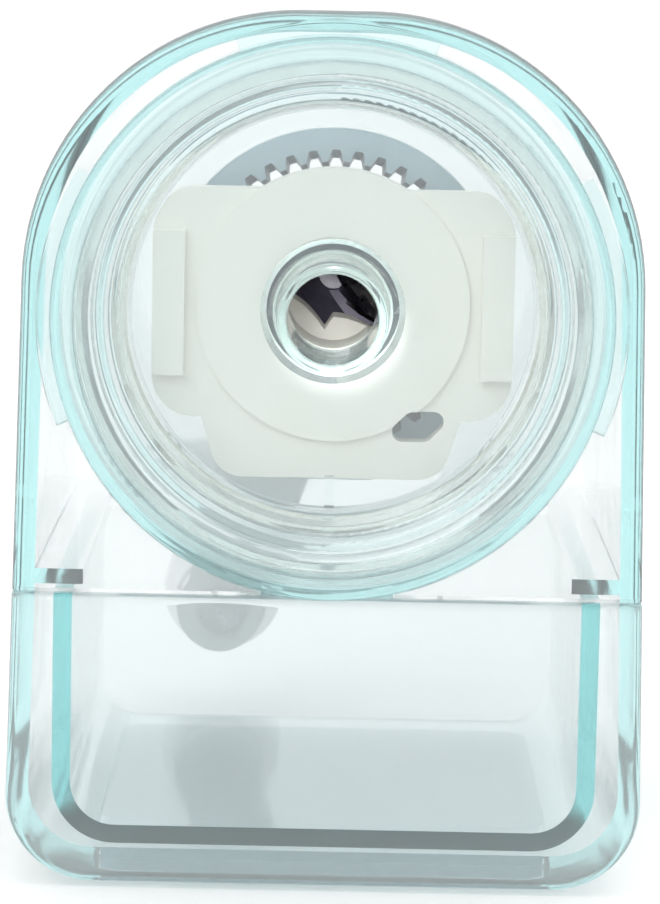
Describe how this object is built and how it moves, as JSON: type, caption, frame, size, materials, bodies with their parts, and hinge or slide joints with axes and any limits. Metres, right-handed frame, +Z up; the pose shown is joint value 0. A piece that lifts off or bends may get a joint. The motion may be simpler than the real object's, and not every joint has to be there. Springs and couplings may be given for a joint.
{
  "type": "crank pencil sharpener",
  "caption": "Desk pencil sharpener: clear arched casing, round stepped front with a pencil hole, planetary cutter turned by a rear crank, and a slide-out shavings drawer.",
  "frame": {"origin": "centre of the resting face, on the underside of the anti-slip pad", "axes": "+Z up, -Y out of the round front where the pencil goes in, +Y towards the crank, +X to the right seen from the front"},
  "size_m": [0.0582, 0.0897, 0.0805],
  "materials": {
    "clear_aqua": "clear, glossy",
    "clear_ring": "clear, glossy",
    "clear_front": "clear, glossy",
    "clear_barrel": "clear, glossy",
    "clear_drawer": "clear, glossy",
    "dark_nylon": "satin moulded",
    "blue_nylon": "satin moulded",
    "dark_rubber": "matt",
    "cream_plastic": "satin moulded",
    "grey_plastic": "satin moulded",
    "plain_steel": "turned",
    "hard_steel": "ground, dark"
  },
  "bodies": {
    "housing": {"body_shell": "clear_aqua", "front_bezel": "clear_ring", "front_dish": "clear_front", "inner_barrel": "clear_barrel", "ring_gear": "blue_nylon", "rear_bush": "dark_nylon", "anti_slip_pad": "dark_rubber"},
    "crank": {"carrier_cage": "dark_nylon", "carrier_front_plate": "cream_plastic", "cutter_pin": "plain_steel", "cutter_washers": "plain_steel", "drive_spindle": "plain_steel", "thrust_washer": "plain_steel", "crank_arm": "grey_plastic", "crank_washer": "plain_steel", "crank_screw": "plain_steel", "knob_axle": "plain_steel"},
    "cutter": {"helical_cutter": "hard_steel", "cutter_pinion": "hard_steel"},
    "knob": {"crank_knob": "grey_plastic", "knob_cap": "grey_plastic"},
    "drawer": {"drawer": "clear_drawer"}
  },
  "joints": [
    {"name": "crank_turn", "type": "hinge", "parent": "housing", "child": "crank", "pos_m": [0, 0.031, 0.0528], "axis": [0, 1, 0], "continuous": true},
    {"name": "cutter_spin", "type": "hinge", "parent": "crank", "child": "cutter", "pos_m": [0.00918, -0.01005, 0.0528], "axis": [-0.1908, 0.9816, 0], "continuous": true},
    {"name": "knob_spin", "type": "hinge", "parent": "crank", "child": "knob", "pos_m": [-0.01156, 0.0372, 0.01451], "axis": [0, 1, 0], "continuous": true},
    {"name": "drawer_slide", "type": "slide", "parent": "housing", "child": "drawer", "axis": [0, -1, 0], "range_m": [0, 0.045]}
  ],
  "couplings": [
    {"joint": "cutter_spin", "follows": "crank_turn", "ratio": -3.3333}
  ]
}
